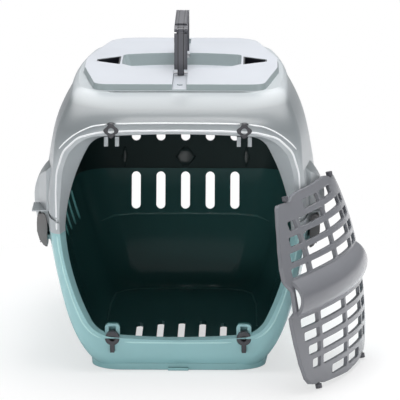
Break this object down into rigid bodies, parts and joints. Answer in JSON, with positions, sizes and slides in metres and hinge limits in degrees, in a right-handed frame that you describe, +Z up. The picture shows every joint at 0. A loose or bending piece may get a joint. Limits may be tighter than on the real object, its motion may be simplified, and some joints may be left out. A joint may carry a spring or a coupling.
{
  "type": "pet carrier",
  "caption": "Two-part plastic pet carrier with a hooded doorway, vent slots, folding strap handle, side latches and a lift-off grille door.",
  "frame": {"origin": "middle of the flat underside of the lower shell, on the ground", "axes": "+Z up, -Y towards the doorway, +X to the right as seen from the front"},
  "size_m": [0.3618, 0.5424, 0.3498],
  "materials": {
    "teal": "smooth glossy moulded polypropylene",
    "pale_grey": "smooth satin-gloss moulded polypropylene",
    "mid_grey": "smooth moulded polypropylene",
    "dark_grey": "fine satin moulded plastic",
    "black_grey": "matt moulded plastic",
    "steel": "plain drawn wire"
  },
  "bodies": {
    "shell": {"lower_shell": "teal", "upper_shell": "pale_grey", "roof_plate": "pale_grey", "belt_guide_left": "black_grey", "belt_guide_right": "black_grey", "latch_pin_left": "steel", "latch_pin_right": "steel", "upper_socket_left": "dark_grey", "upper_socket_right": "dark_grey", "lower_socket_left": "dark_grey", "lower_socket_right": "dark_grey"},
    "handle_foot": {"handle_front_foot_pin": "steel"},
    "front_leg": {"handle_front_leg": "dark_grey"},
    "grip": {"handle_grip": "dark_grey", "handle_front_hinge_pin": "steel", "handle_rear_hinge_pin": "steel"},
    "rear_leg": {"handle_rear_leg": "dark_grey", "handle_rear_foot_pin": "steel"},
    "lever_left": {"latch_lever_left": "mid_grey"},
    "lever_right": {"latch_lever_right": "mid_grey"},
    "door": {"door_grille": "mid_grey", "door_upper_pin_left": "dark_grey", "door_upper_pin_right": "dark_grey", "door_lower_pin_left": "dark_grey", "door_lower_pin_right": "dark_grey"}
  },
  "joints": [
    {"name": "handle_foot_slide", "type": "slide", "parent": "shell", "child": "handle_foot", "axis": [0, -1, 0], "range_m": [0, 0.048]},
    {"name": "handle_front_leg_fold", "type": "hinge", "parent": "handle_foot", "child": "front_leg", "pos_m": [0, -0.073, 0.2973], "axis": [-1, 0, 0], "range_deg": [0, 90]},
    {"name": "handle_front_grip_hinge", "type": "hinge", "parent": "front_leg", "child": "grip", "pos_m": [0, -0.073, 0.3453], "axis": [1, 0, 0], "range_deg": [0, 90]},
    {"name": "handle_rear_leg_fold", "type": "hinge", "parent": "grip", "child": "rear_leg", "pos_m": [0, 0.045, 0.3453], "axis": [1, 0, 0], "range_deg": [0, 90]},
    {"name": "latch_left_swing", "type": "hinge", "parent": "shell", "child": "lever_left", "pos_m": [-0.147, -0.186, 0.165], "axis": [0, 1, 0], "range_deg": [0, 25]},
    {"name": "latch_right_swing", "type": "hinge", "parent": "shell", "child": "lever_right", "pos_m": [0.147, -0.186, 0.165], "axis": [0, -1, 0], "range_deg": [0, 25]},
    {"name": "door_lift_away", "type": "slide", "parent": "shell", "child": "door", "axis": [0.9397, -0.342, 0], "range_m": [0, 0.15]}
  ],
  "couplings": [
    {"joint": "handle_foot_slide", "follows": "handle_front_leg_fold", "m_per_rad": 0.030558},
    {"joint": "handle_front_grip_hinge", "follows": "handle_front_leg_fold", "ratio": 1},
    {"joint": "handle_rear_leg_fold", "follows": "handle_front_leg_fold", "ratio": 1}
  ]
}
